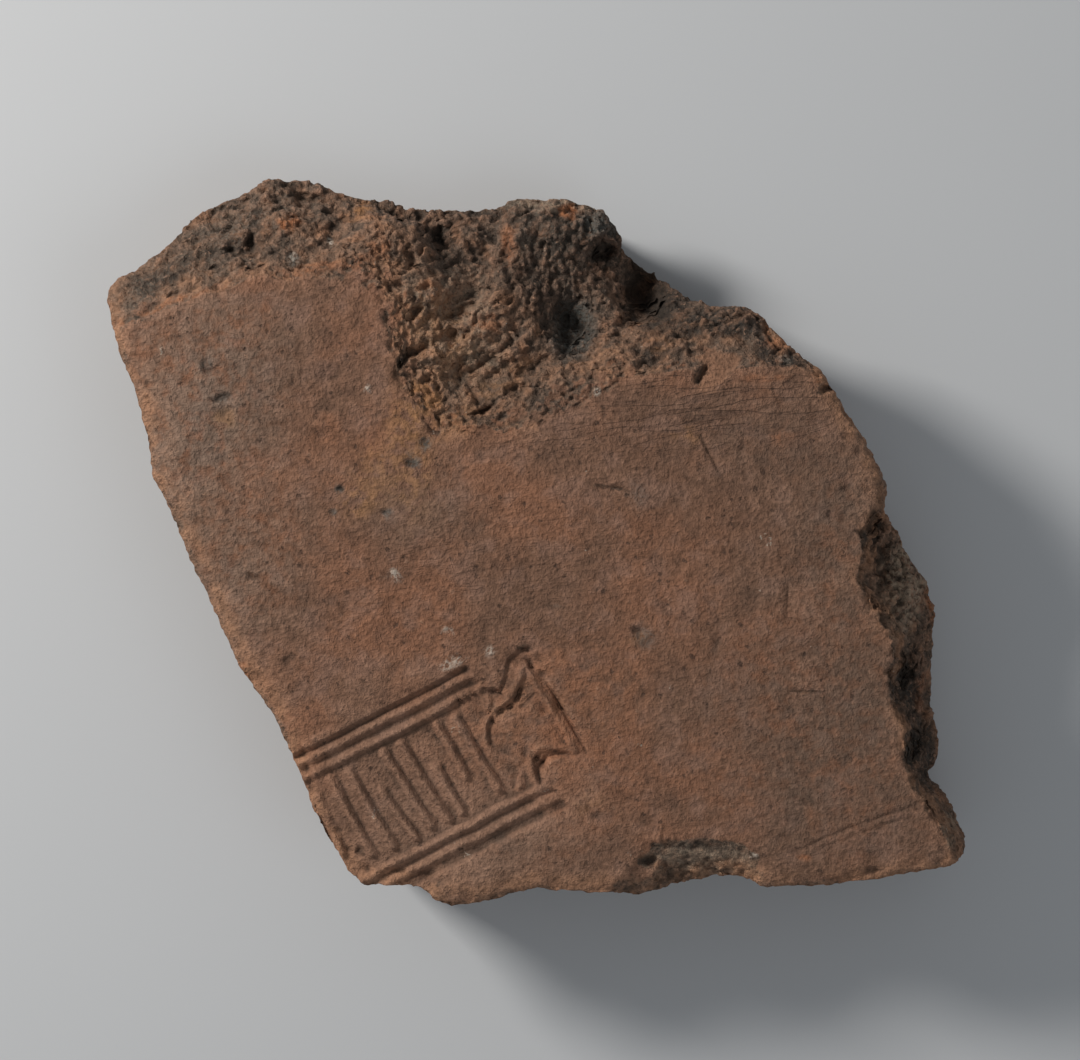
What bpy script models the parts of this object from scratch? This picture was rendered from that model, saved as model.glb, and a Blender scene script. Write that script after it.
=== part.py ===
"""Fragment of a thick fired-clay tile that carries a stamped frame with a dovetail end.

The tile lies on its flat underside with the stamped face up. +X runs along its longest side,
+Z is up, and the origin is in the middle of its box, on the underside. Units are metres.
"""

import math
import random

import bmesh
import bpy
import numpy as np
from mathutils import Vector, noise
from mathutils.geometry import delaunay_2d_cdt

# Size of the whole fragment
LENGTH = 0.259
WIDTH = 0.219
THICKNESS = 0.050

# The stamp: a recess with raised lines, pressed slantwise into the wet clay
STAMP_ANGLE = math.radians(27.5)
STAMP_HEIGHT = 0.0516
STAMP_DEPTH = 0.0016
STAMP_DRAFT = 0.0012
RIDGE_WIDTH = 0.0014
RIDGE_DRAFT = 0.0010
RIDGE_HEIGHT = 0.0012
STROKE_WIDTH = 0.0018
STROKE_DRAFT = 0.0011
STROKE_HEIGHT = 0.0010
STROKE_PITCH = 0.0060
STROKE_COUNT = 9
STROKE_END_GAP = 0.0040
STROKE_END_SPACE = 0.0122

# Wear and breakage
RIM_WEAR = 0.0016
RIM_WEAR_RUN = 0.0022
FACE_WAVE = 0.00045
FACE_WAVE_SIZE = 0.065
BREAK_ROUGHNESS = 0.0042
BREAK_GRAIN = 0.018
BREAK_STEP_RUN = 0.0040
LEAST_HEIGHT = 0.010
UNDERCUT = 0.0085
WALL_ROUGHNESS = 0.0062
WALL_GRAIN = 0.019
FOOT_WEAR = 0.0028
FOOT_CHAMFER = 0.0022

# Spacing of the points that carry the surface
FACE_SPACING = 0.0070
BREAK_SPACING = 0.0033
OUTLINE_SPACING = 0.0046
FEATURE_SPACING = 0.0060
UNDERSIDE_SPACING = 0.016
WALL_ROWS = 8
SAME_POINT = 0.00001

# Shares that shape the forms: how the slope of a break bends, how much of its lumps reaches the
# rim, where the broken sides swell most, and how steeply they draw in
SLOPE_BEND = 1.15
RIM_FORMS = 0.35
SWELL_END = 0.85
SWELL_POWER = 0.7
DRAW_IN_POWER = 1.4
BLEND_REACH = 0.02

# Shares that keep the points of the surface well apart and slightly out of line
GRID_SHAKE = 0.18
GRID_CLEARANCE = 0.55
GRID_SEED = 11

# How each finer layer of the roughness is weaker and closer than the one before
NOISE_FALL = 1.0
NOISE_STEP = 2.1

# Edges sharper than this show as edges, and a bar's end is rounded by points this far off its axis
SHARP_EDGE = math.radians(32)
BAR_END_TURN = math.radians(30)

# Where each roughness is read from, so that no two are alike
BREAK_SHIFT = 3.0
FACE_SHIFT = 7.0
WALL_SHIFT = 12.0

# The broken outline, clockwise from above: thousandths of the length and of the width from the
# middle, then the height of the rim there, a share of the thickness
OUTLINE = (
    (-500, 329, 0.90), (-497, 351, 0.84), (-459, 380, 0.76), (-428, 409, 0.70), (-405, 443, 0.66),
    (-372, 464, 0.64), (-341, 480, 0.64), (-314, 498, 0.62), (-286, 499, 0.62), (-255, 491, 0.62),
    (-216, 475, 0.62), (-178, 469, 0.60), (-150, 458, 0.56), (-103, 458, 0.54), (-54, 457, 0.54),
    (-29, 473, 0.56), (39, 472, 0.58), (78, 458, 0.54), (94, 435, 0.48), (104, 401, 0.42),
    (131, 379, 0.40), (157, 355, 0.46), (179, 336, 0.60), (208, 324, 0.72), (245, 324, 0.78),
    (265, 305, 0.82), (291, 268, 0.88), (329, 234, 0.94), (346, 199, 0.94), (365, 168, 0.94),
    (383, 136, 0.93), (406, 72, 0.88), (403, 39, 0.84), (419, 18, 0.66), (436, -21, 0.52),
    (456, -57, 0.46), (466, -98, 0.42), (463, -164, 0.40), (463, -225, 0.36), (472, -271, 0.34),
    (472, -302, 0.36), (457, -324, 0.46), (478, -349, 0.56), (487, -376, 0.62), (500, -408, 0.70),
    (498, -432, 0.80), (481, -446, 0.95), (397, -464, 1.00), (328, -475, 1.00), (263, -475, 0.97),
    (233, -461, 0.90), (203, -461, 0.88), (161, -473, 0.88), (120, -487, 0.92), (61, -483, 1.00),
    (2, -477, 1.00), (-37, -487, 1.00), (-73, -499, 1.00), (-101, -501, 1.00), (-120, -494, 1.00),
    (-132, -476, 1.00), (-149, -476, 1.00), (-201, -473, 1.00), (-216, -461, 1.00), (-230, -431, 1.00),
    (-258, -372, 1.00), (-274, -320, 1.00), (-309, -235, 1.00), (-346, -175, 1.00), (-384, -72, 1.00),
    (-402, -27, 1.00), (-431, 55, 1.00), (-447, 88, 1.00), (-451, 138, 1.00), (-465, 199, 0.99),
    (-485, 258, 0.97),
)

# What is left of the old face: its edge in the same shares, then how far the break drops
# straight away beyond that edge, a share of the thickness. It runs past the outline on the
# left and along the foot, where the break is square.
OLD_FACE = (
    (-529, 282, 0.00), (-459, 299, 0.01), (-389, 336, 0.01), (-311, 360, 0.01), (-216, 355, 0.02),
    (-177, 329, 0.06), (-161, 227, 0.09), (-122, 149, 0.07), (-37, 146, 0.07), (27, 172, 0.08),
    (73, 202, 0.07), (119, 231, 0.05), (177, 236, 0.05), (304, 240, 0.05), (334, 220, 0.03),
    (378, 135, 0.03), (396, 86, 0.04), (397, 39, 0.10), (375, 9, 0.20), (380, -18, 0.20),
    (372, -54, 0.16), (392, -92, 0.12), (412, -136, 0.14), (417, -169, 0.18), (404, -183, 0.20),
    (412, -218, 0.20), (425, -257, 0.20), (431, -303, 0.20), (433, -329, 0.16), (455, -364, 0.12),
    (476, -408, 0.08), (487, -438, 0.03), (524, -479, 0.00), (281, -527, 0.00), (264, -471, 0.02),
    (259, -418, 0.04), (233, -413, 0.06), (197, -406, 0.07), (150, -410, 0.06), (119, -413, 0.04),
    (105, -451, 0.03), (87, -486, 0.00), (73, -534, 0.00), (-228, -534, 0.00), (-413, -164, 0.00),
    (-517, 192, 0.00),
)

# Lumps and hollows of the breaks: place in the same shares, half length and half breadth in
# thousandths of the length, turn in degrees, and rise or depth as a share of the thickness
BREAK_FORMS = (
    (-35, 360, 62, 20, 84, 0.10),
    (40, 425, 55, 22, -12, 0.09),
    (84, 440, 22, 16, -50, 0.10),
    (119, 340, 22, 30, 8, -0.38),
    (84, 385, 15, 12, 30, -0.16),
    (41, 300, 21, 36, 0, -0.13),
    (-112, 275, 62, 9, 27, -0.08),
    (-70, 305, 50, 9, 30, 0.05),
    (-141, 316, 22, 9, 48, -0.10),
    (-167, 345, 15, 12, 60, -0.16),
    (-150, 392, 14, 20, 80, -0.13),
    (-116, 420, 13, 17, 70, -0.12),
    (-152, 255, 16, 16, 0, -0.12),
    (-108, 222, 20, 10, 25, -0.08),
    (-66, 175, 30, 8, 18, -0.05),
    (-27, 210, 30, 8, 40, -0.05),
    (90, 262, 30, 24, 10, 0.07),
    (200, 300, 60, 14, 12, 0.05),
    (200, 232, 22, 13, 15, 0.05),
    (-334, 405, 20, 14, -20, -0.09),
    (-292, 430, 30, 18, 0, 0.05),
    (-262, 470, 20, 12, 0, -0.06),
    (-400, 385, 30, 14, 30, 0.03),
    (388, -2, 16, 16, 0, -0.14),
    (430, -80, 18, 40, 70, 0.10),
    (448, -250, 18, 40, 85, -0.06),
    (470, -380, 14, 20, 60, 0.05),
    (190, -440, 30, 14, 0, 0.02),
)

# Where the frame's right end crosses its middle line, in the same shares
STAMP_END = (-29, -271)

# The stamped recess and its raised lines, in hundredths of the stamp's height: along the frame
# from its right end, then across it from its middle line
STAMP_LEFT = -190
RECESS_EDGE = (
    (STAMP_LEFT, 50), (-4, 50), (1, 33), (8, 28), (14, 35), (20, 43), (36, 42), (33, 16),
    (36, -30), (23, -26), (12, -21), (6, -24), (5, -33), (11, -38), (11, -50), (STAMP_LEFT, -50),
)
RAISED_LINES = (
    ((STAMP_LEFT, 42.5), (-2, 42.5)),
    ((STAMP_LEFT, 35), (0, 35)),
    ((STAMP_LEFT, -33), (5, -33)),
    ((STAMP_LEFT, -43), (9, -43)),
    ((-5, 18), (-12, 11), (-15, 3), (-12, -5), (-5, -11)),
    ((-5, 18), (11, 20), (19, 26), (28, 35)),
    ((28, 35), (27, 14), (29, -22)),
    ((29, -22), (21, -17), (9, -13), (1, -19), (-2, -29)),
)

# The strokes that fill the frame, from its right end: where each one starts and stops, as shares
# of a full stroke, and how far its foot leans along the frame, as a share of the pitch
INNER_TOP = RAISED_LINES[1][0][1]
INNER_FOOT = RAISED_LINES[2][0][1]
STROKE_SPANS = (
    (0.96, 0.04, 0.25), (1.00, 0.34, 0.10), (0.58, 0.02, 0.15), (1.00, 0.00, 0.35), (1.00, 0.03, 0.45),
    (0.62, 0.00, 0.50), (0.98, 0.02, 0.25), (1.00, 0.06, 0.15), (0.90, 0.22, -0.20),
)


def clear_scene():
    """Takes away whatever the scene starts with."""
    for obj in list(bpy.data.objects):
        bpy.data.objects.remove(obj, do_unlink=True)


def placed(shares):
    """Points in metres from thousandths of the length and the width, without the third column."""
    return np.array([(x * LENGTH / 1000, y * WIDTH / 1000) for x, y, *_ in shares])


def from_stamp(local):
    """Turns points along and across the slanted stamp into the tile's own place."""
    c, s = math.cos(STAMP_ANGLE), math.sin(STAMP_ANGLE)
    turned = np.stack([local[:, 0] * c - local[:, 1] * s, local[:, 0] * s + local[:, 1] * c], 1)
    return turned + placed([STAMP_END])[0]


def chain_distance(points, chain, closed):
    """Distance of each point to the nearest segment of a chain."""
    starts = chain if closed else chain[:-1]
    ends = np.roll(chain, -1, axis=0) if closed else chain[1:]
    run = ends - starts
    length2 = (run**2).sum(1)
    away = points[:, None, :] - starts[None]
    along = np.clip((away * run[None]).sum(2) / length2, 0, 1)
    return np.linalg.norm(away - along[..., None] * run[None], axis=2).min(1)


def inside(points, ring):
    """Which points lie inside a closed ring, by the even-odd rule."""
    x, y = points[:, 0:1], points[:, 1:2]
    ax, ay = ring[:, 0][None], ring[:, 1][None]
    bx, by = np.roll(ax, -1, axis=1), np.roll(ay, -1, axis=1)
    spans = (ay > y) != (by > y)
    level = np.where(by == ay, 1.0, by - ay)
    crossing = ax + (y - ay) / level * (bx - ax)
    return (spans & (x < crossing)).sum(1) % 2 == 1


def corner_normals(chain, closed):
    """Unit normals at the corners of a chain, to the left of its direction of travel."""
    if closed:
        run = np.roll(chain, -1, axis=0) - np.roll(chain, 1, axis=0)
    else:
        run = np.gradient(chain, axis=0)
    run /= np.linalg.norm(run, axis=1, keepdims=True)
    return np.stack([-run[:, 1], run[:, 0]], 1)


def clay_noise(points, height, size, octaves, shift):
    """Smooth seeded roughness, about -1 to 1, at each point."""
    values = []
    for (x, y), h in zip(points, np.broadcast_to(height, len(points))):
        place = Vector((x / size + shift, y / size - shift, h / size))
        values.append(noise.fractal(place, NOISE_FALL, NOISE_STEP, octaves))
    return np.array(values)


def weighted(points, stops, values, reach):
    """Blends a value given at each stop over the plane, nearest stops first."""
    gap2 = ((points[:, None, :] - stops[None]) ** 2).sum(2)
    weight = 1.0 / (gap2 + reach**2) ** 2
    return (weight * values[None]).sum(1) / weight.sum(1)


OUTLINE_RING = placed(OUTLINE)
FACE_RING = placed(OLD_FACE)
RIM_SHARE = np.array([share for _, _, share in OUTLINE])
STEP_SHARE = np.array([share for _, _, share in OLD_FACE])
RECESS_RING = from_stamp(np.array(RECESS_EDGE) * STAMP_HEIGHT / 100)
RAISED_CHAINS = [from_stamp(np.array(line) * STAMP_HEIGHT / 100) for line in RAISED_LINES]


def stroke_chains():
    """The row of strokes that stands between the inner lines, each one a straight bar."""
    lowest = INNER_FOOT * STAMP_HEIGHT / 100 + STROKE_END_GAP
    full = (INNER_TOP - INNER_FOOT) * STAMP_HEIGHT / 100 - 2 * STROKE_END_GAP
    chains = []
    for number in range(STROKE_COUNT):
        top, foot, lean = STROKE_SPANS[number % len(STROKE_SPANS)]
        along = -STROKE_END_SPACE - number * STROKE_PITCH
        start = (along, lowest + top * full)
        end = (along + lean * STROKE_PITCH, lowest + foot * full)
        chains.append(from_stamp(np.array((start, end))))
    return chains


STROKE_CHAINS = stroke_chains()


def bar_relief(points, chain, width, draft, height):
    """Height of a raised bar that follows a chain: flat on top, with sloping sides."""
    gap = chain_distance(points, chain, closed=False)
    return height * np.clip((width / 2 + draft - gap) / draft, 0, 1)


def stamp_relief(points):
    """The recess and what stands up in it, as a height above or below the face."""
    gap = chain_distance(points, RECESS_RING, closed=True)
    within = inside(points, RECESS_RING)
    sunk = np.where(within, np.clip(gap / STAMP_DRAFT, 0, 1), 0.0)
    raised = np.zeros(len(points))
    for chain in RAISED_CHAINS:
        raised = np.maximum(raised, bar_relief(points, chain, RIDGE_WIDTH, RIDGE_DRAFT, RIDGE_HEIGHT))
    for chain in STROKE_CHAINS:
        raised = np.maximum(raised, bar_relief(points, chain, STROKE_WIDTH, STROKE_DRAFT, STROKE_HEIGHT))
    return sunk * (raised - STAMP_DEPTH)


def break_forms(points):
    """Lumps and hollows of the breaks, each a smooth oval mound or dent."""
    total = np.zeros(len(points))
    for x, y, half_length, half_breadth, turn, rise in BREAK_FORMS:
        away = points - placed([(x, y)])[0]
        c, s = math.cos(math.radians(turn)), math.sin(math.radians(turn))
        along = (away[:, 0] * c + away[:, 1] * s) * 1000 / (half_length * LENGTH)
        across = (away[:, 1] * c - away[:, 0] * s) * 1000 / (half_breadth * LENGTH)
        total += rise * THICKNESS * np.exp(-(along**2 + across**2))
    return total


def top_height(points):
    """Height of the upper surface over each point: old face, stamp and breaks in one."""
    to_rim = chain_distance(points, OUTLINE_RING, closed=True)
    to_face = chain_distance(points, FACE_RING, closed=True)
    broken = ~inside(points, FACE_RING)
    to_face = np.where(broken, to_face, 0.0)
    share = to_face / np.maximum(to_face + to_rim, SAME_POINT)
    rim = THICKNESS * weighted(points, OUTLINE_RING, RIM_SHARE, LENGTH * BLEND_REACH)
    step = THICKNESS * weighted(points, FACE_RING, STEP_SHARE, LENGTH * BLEND_REACH)
    step = np.minimum(step, THICKNESS - rim)
    first_drop = step * (1 - np.exp(-to_face / BREAK_STEP_RUN))
    slope_drop = np.maximum(THICKNESS - step - rim, 0) * share**SLOPE_BEND
    settled = 1 - np.exp(-to_face / (2 * BREAK_STEP_RUN))
    rough = BREAK_ROUGHNESS * clay_noise(points, 0.0, BREAK_GRAIN, 4, BREAK_SHIFT)
    rim_fade = RIM_FORMS + (1 - RIM_FORMS) * (1 - np.exp(-to_rim / (2 * BREAK_STEP_RUN)))
    forms = settled * rim_fade * (break_forms(points) + rough)
    face = FACE_WAVE * (clay_noise(points, 0.0, FACE_WAVE_SIZE, 2, FACE_SHIFT) - 1)
    worn = RIM_WEAR * np.exp(-to_rim / RIM_WEAR_RUN)
    height = THICKNESS + face - worn - first_drop - slope_drop + forms
    height += np.where(broken, 0.0, stamp_relief(points))
    return np.clip(height, LEAST_HEIGHT, THICKNESS)


def cut_up(chain, spacing):
    """A chain with extra points so that no stretch is longer than the spacing."""
    points = [chain[0]]
    for start, end in zip(chain[:-1], chain[1:]):
        count = max(1, math.ceil(np.linalg.norm(end - start) / spacing))
        points += [start + (end - start) * step / count for step in range(1, count + 1)]
    return np.array(points)


def cut_up_ring(ring, spacing):
    """A closed ring with extra points so that no stretch is longer than the spacing."""
    return cut_up(np.concatenate([ring, ring[:1]]), spacing)[:-1]


def bar_end(tip, side, half_width):
    """Two points that round off the end of a bar, from one side to the other."""
    ahead = np.array([side[1], -side[0]])
    forward = half_width * math.cos(BAR_END_TURN) * ahead
    sideways = half_width * math.sin(BAR_END_TURN) * side
    return [tip + forward + sideways, tip + forward - sideways]


def bar_loop(chain, half_width):
    """A closed loop round a bar, with rounded ends."""
    sides = corner_normals(chain, closed=False)
    loop = list(chain + sides * half_width)
    loop += bar_end(chain[-1], sides[-1], half_width)
    loop += list(chain[::-1] - sides[::-1] * half_width)
    loop += bar_end(chain[0], -sides[0], half_width)
    return np.array(loop)


def feature_loops():
    """Loops the surface follows: the old face's edge, the recess, and round each raised bar."""
    inwards = -corner_normals(RECESS_RING, closed=True)
    face_edge = cut_up_ring(FACE_RING, FEATURE_SPACING)
    loops = [face_edge, RECESS_RING, RECESS_RING + inwards * STAMP_DRAFT]
    bars = [(chain, RIDGE_WIDTH, RIDGE_DRAFT) for chain in RAISED_CHAINS]
    bars += [(chain, STROKE_WIDTH, STROKE_DRAFT) for chain in STROKE_CHAINS]
    for chain, width, draft in bars:
        fine = cut_up(chain, FEATURE_SPACING)
        loops += [bar_loop(fine, width / 2), bar_loop(fine, width / 2 + draft)]
    return loops


def filling_points(edges):
    """A slightly shaken triangular grid: fine on the breaks, wider on the old face."""
    shake = random.Random(GRID_SEED)
    kept = []
    for spacing, on_break in ((BREAK_SPACING, True), (FACE_SPACING, False)):
        rows = np.arange(-WIDTH / 2, WIDTH / 2, spacing * math.sqrt(3) / 2)
        grid = []
        for number, y in enumerate(rows):
            for x in np.arange(-LENGTH / 2, LENGTH / 2, spacing):
                shift = spacing / 2 if number % 2 else 0.0
                dx = spacing * shake.uniform(-GRID_SHAKE, GRID_SHAKE)
                dy = spacing * shake.uniform(-GRID_SHAKE, GRID_SHAKE)
                grid.append((x + shift + dx, y + dy))
        grid = np.array(grid)
        grid = grid[inside(grid, OUTLINE_RING)]
        near_face = chain_distance(grid, FACE_RING, closed=True)
        broken = ~inside(grid, FACE_RING) | (near_face < BREAK_SPACING)
        grid = grid[broken == on_break]
        clear = np.min(np.linalg.norm(grid[:, None] - edges[None], axis=2), axis=1)
        kept.append(grid[clear > GRID_CLEARANCE * spacing])
    return np.concatenate(kept)


def flat_mesh(points, loops):
    """Triangles in the plane over the points and along the loops, kept inside the first loop."""
    starts = np.cumsum([0] + [len(loop) for loop in loops])
    edges = []
    for first, loop in zip(starts, loops):
        edges += [(int(first + i), int(first + (i + 1) % len(loop))) for i in range(len(loop))]
    flat = np.concatenate([*loops, points])
    made = delaunay_2d_cdt([Vector(p) for p in flat], edges, [], 0, SAME_POINT)
    corners = np.array([tuple(v) for v in made[0]])
    faces = np.array([f for f in made[2] if len(f) == 3])
    middles = corners[faces].mean(axis=1)
    return corners, faces[inside(middles, loops[0])]


def rim_of(faces):
    """The loop of corners round a sheet of triangles, in order."""
    sides = {side for a, b, c in faces for side in ((a, b), (b, c), (c, a))}
    onward = {start: end for start, end in sides if (end, start) not in sides}
    first = min(onward)
    loop = [first]
    while onward[loop[-1]] != first:
        loop.append(onward[loop[-1]])
    return loop


def wall_rows(rim, rim_height):
    """Rows of points down the broken sides, each drawn in towards the middle of the tile."""
    outward = rim / np.linalg.norm(rim, axis=1, keepdims=True)
    rows = []
    for number in range(1, WALL_ROWS + 1):
        depth = number / WALL_ROWS
        height = FOOT_WEAR + (rim_height - FOOT_WEAR) * (1 - depth)
        swell = math.sin(math.pi * min(depth, SWELL_END)) ** SWELL_POWER
        rough = np.clip(0.5 + 0.5 * clay_noise(rim, height, WALL_GRAIN, 4, WALL_SHIFT), 0, 1)
        drawn_in = UNDERCUT * rim_height / THICKNESS * depth**DRAW_IN_POWER
        drawn_in += WALL_ROUGHNESS * rough * swell
        rows.append((rim - outward * drawn_in[:, None], height))
    last_points, _ = rows[-1]
    rows.append((last_points - outward * FOOT_CHAMFER, np.zeros(len(rim))))
    return rows


def underside_faces(ring):
    """Triangles of the flat underside inside its own outline."""
    xs = np.arange(-LENGTH / 2, LENGTH / 2, UNDERSIDE_SPACING)
    ys = np.arange(-WIDTH / 2, WIDTH / 2, UNDERSIDE_SPACING)
    grid = np.array([(x, y) for y in ys for x in xs])
    grid = grid[inside(grid, ring)]
    gap = chain_distance(grid, ring, closed=True)
    return flat_mesh(grid[gap > UNDERSIDE_SPACING * GRID_CLEARANCE], [ring])


def build_tile():
    """Sews the upper surface, the broken sides and the underside into one closed solid."""
    ring = cut_up_ring(OUTLINE_RING, OUTLINE_SPACING)
    features = feature_loops()
    plan, faces = flat_mesh(filling_points(np.concatenate([ring, *features])), [ring, *features])
    used = np.unique(faces)
    renumber = {old: new for new, old in enumerate(used)}
    plan = plan[used]
    faces = [[renumber[corner] for corner in face] for face in faces]
    heights = top_height(plan)

    shape = bmesh.new()
    top = [shape.verts.new((x, y, z)) for (x, y), z in zip(plan, heights)]
    for face in faces:
        shape.faces.new([top[corner] for corner in face])

    loop = rim_of(faces)
    above = [top[corner] for corner in loop]
    for points, levels in wall_rows(plan[loop], heights[loop]):
        below = [shape.verts.new((x, y, z)) for (x, y), z in zip(points, levels)]
        for i in range(len(loop)):
            after = (i + 1) % len(loop)
            shape.faces.new((above[after], above[i], below[i], below[after]))
        above = below
        foot = points

    under, under_faces = underside_faces(foot)
    below = []
    for x, y in under:
        gap = np.linalg.norm(foot - (x, y), axis=1)
        on_rim = gap.min() < SAME_POINT
        below.append(above[gap.argmin()] if on_rim else shape.verts.new((x, y, 0)))
    for face in under_faces:
        shape.faces.new([below[corner] for corner in reversed(face)])

    bmesh.ops.triangulate(shape, faces=shape.faces[:])
    bmesh.ops.recalc_face_normals(shape, faces=shape.faces[:])
    mesh = bpy.data.meshes.new("tile_fragment")
    shape.to_mesh(mesh)
    shape.free()
    mesh.shade_smooth()
    mesh.set_sharp_from_angle(angle=SHARP_EDGE)
    tile = bpy.data.objects.new("tile_fragment", mesh)
    bpy.context.collection.objects.link(tile)
    return tile


def fired_clay():
    """Dull red-brown fired clay."""
    clay = bpy.data.materials.new("fired_clay")
    clay.use_nodes = True
    shader = clay.node_tree.nodes["Principled BSDF"]
    shader.inputs["Base Color"].default_value = (0.30, 0.145, 0.085, 1.0)
    shader.inputs["Roughness"].default_value = 0.92
    shader.inputs["Metallic"].default_value = 0.0
    return clay


clear_scene()
tile_fragment = build_tile()
tile_fragment.data.materials.append(fired_clay())
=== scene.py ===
# %% [markdown]
# # A broken clay tile with a stamped frame
# The object is one piece of fired clay: a thick slab, broken on every side, that was stamped
# while it was wet. The solid model gives its true size and its main forms. This lesson makes the
# surface over them: rough breaks, a worn face, a crisp stamp, and a clay that looks dusty and old.

# %% Load the solid model
import math

import bpy
import numpy as np
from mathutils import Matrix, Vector, kdtree, noise


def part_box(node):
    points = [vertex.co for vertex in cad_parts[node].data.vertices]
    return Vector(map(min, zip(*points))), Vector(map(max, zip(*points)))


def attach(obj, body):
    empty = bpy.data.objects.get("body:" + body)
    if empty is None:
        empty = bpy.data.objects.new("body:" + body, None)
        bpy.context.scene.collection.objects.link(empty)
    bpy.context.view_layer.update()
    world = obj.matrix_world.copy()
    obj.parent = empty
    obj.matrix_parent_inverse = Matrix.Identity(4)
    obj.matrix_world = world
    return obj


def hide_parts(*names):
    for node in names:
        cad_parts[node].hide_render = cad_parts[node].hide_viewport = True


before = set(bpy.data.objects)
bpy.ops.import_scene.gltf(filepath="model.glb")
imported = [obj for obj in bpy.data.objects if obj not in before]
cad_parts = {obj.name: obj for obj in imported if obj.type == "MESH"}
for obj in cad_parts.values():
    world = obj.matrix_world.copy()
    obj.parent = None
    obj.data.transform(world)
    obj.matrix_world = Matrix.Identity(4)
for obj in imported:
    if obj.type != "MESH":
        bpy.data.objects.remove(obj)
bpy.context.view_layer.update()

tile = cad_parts["tile_fragment"]
low, high = (np.array(corner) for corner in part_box("tile_fragment"))
size = high - low
MM = 0.001
print("solid model, millimetres:", np.round(size / MM, 1))

# %% [markdown]
# ## Reading places off the photograph
# The photograph looks straight down on the face. Its pixels and the tile's own length are tied
# together once, here, so that a crack or a pit can be put down where it was seen.

# %% From photo pixels to metres, and back
PHOTO_FRAME = (1080, 1060)
PHOTO_MIDDLE = np.array((537.0, 540.5))
PHOTO_LENGTH = 864.0
pixel = size[0] / PHOTO_LENGTH


def place(seen):
    """Turns photo pixels into metres on the tile, +Y up."""
    return (np.array(seen, float) - PHOTO_MIDDLE) * (pixel, -pixel)


def in_photo(points):
    """Turns points on the tile into photo pixels."""
    return points[:, :2] / (pixel, -pixel) + PHOTO_MIDDLE


print("one photo pixel is", round(pixel / MM, 3), "mm")

# %% [markdown]
# ## The camera
# The view is straight down, from far away with a long lens, so the tile's outline is as flat as
# in the photograph. The aim is a little off the middle, because the tile is in the picture too.

# %% Camera
CAMERA_HEIGHT = 2.6
aim_x, aim_y = place([(PHOTO_FRAME[0] / 2, PHOTO_FRAME[1] / 2)])[0]
bpy.ops.object.camera_add(location=(aim_x, aim_y, CAMERA_HEIGHT + high[2]), rotation=(0, 0, 0))
camera = bpy.context.active_object
camera.name = "camera"
camera.data.sensor_width = 36.0
camera.data.lens = camera.data.sensor_width * CAMERA_HEIGHT / (PHOTO_FRAME[0] * pixel)
camera.data.clip_end = 20.0
bpy.context.scene.camera = camera
print("lens, millimetres:", round(camera.data.lens, 1))

# %% [markdown]
# ## The floor and the light
# A pale, plain floor and a soft lamp low on the upper left, so that every ridge of the stamp and
# every stroke in it throws a short soft shadow. A weaker lamp on the other side and a grey sky
# fill the shadows.

# %% Floor and lamps
FLOOR_SIDE = 6.0
bpy.ops.object.select_all(action="DESELECT")
bpy.ops.mesh.primitive_plane_add(size=FLOOR_SIDE, location=(0, 0, 0))
floor = bpy.context.active_object
floor.name = "floor"
floor_paint = bpy.data.materials.new("pale_floor")
floor_paint.use_nodes = True
floor_shader = floor_paint.node_tree.nodes["Principled BSDF"]
floor_shader.inputs["Base Color"].default_value = (0.62, 0.63, 0.64, 1.0)
floor_shader.inputs["Roughness"].default_value = 0.85
floor.data.materials.append(floor_paint)


def soft_lamp(name, spot, width, watts, tint):
    """An area lamp at a spot, turned towards the middle of the tile."""
    towards = Vector((0, 0, high[2] / 2)) - Vector(spot)
    turn = towards.to_track_quat("-Z", "Y").to_euler()
    bpy.ops.object.light_add(type="AREA", location=spot, rotation=turn)
    lamp = bpy.context.active_object
    lamp.name = name
    lamp.data.size = width
    lamp.data.energy = watts
    lamp.data.color = tint
    return lamp


soft_lamp("key_lamp", (-0.94, 0.56, 0.66), 0.30, 14.2, (1.0, 0.97, 0.93))
soft_lamp("fill_lamp", (1.2, -1.0, 2.2), 1.6, 7.0, (0.93, 0.96, 1.0))
sky = bpy.data.worlds.new("grey_sky")
sky.use_nodes = True
sky.node_tree.nodes["Background"].inputs["Color"].default_value = (0.72, 0.76, 0.80, 1.0)
sky.node_tree.nodes["Background"].inputs["Strength"].default_value = 0.27
bpy.context.scene.world = sky
bpy.context.scene.view_settings.view_transform = "Standard"

# %% [markdown]
# ## A close-meshed copy of the solid
# A broken surface needs thousands of small faces. They could be cut into the solid's own
# triangles, but those have very unlike sizes. A voxel remesh gives even squares everywhere, so it
# is used here. It rounds edges by about one voxel, as wear does.

# %% Helpers for modelling by hand
def pick(obj):
    """Makes one object the only selected one, and the active one."""
    bpy.ops.object.select_all(action="DESELECT")
    obj.select_set(True)
    bpy.context.view_layer.objects.active = obj


def apply_modifier(obj, kind, **settings):
    """Adds a modifier with its settings and applies it."""
    pick(obj)
    bpy.ops.object.modifier_add(type=kind)
    modifier = obj.modifiers[-1]
    for name, value in settings.items():
        setattr(modifier, name, value)
    bpy.ops.object.modifier_apply(modifier=modifier.name)


def corners(obj):
    """The mesh's points as an array."""
    flat = np.empty(len(obj.data.vertices) * 3, np.float32)
    obj.data.vertices.foreach_get("co", flat)
    return flat.reshape(-1, 3).astype(float)


def set_corners(obj, points):
    """Puts the mesh's points where the array says."""
    obj.data.vertices.foreach_set("co", points.astype(np.float32).ravel())
    obj.data.update()


def normals(obj):
    """The mesh's point normals as an array."""
    flat = np.empty(len(obj.data.vertices) * 3, np.float32)
    obj.data.vertex_normals.foreach_get("vector", flat)
    return flat.reshape(-1, 3).astype(float)


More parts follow.
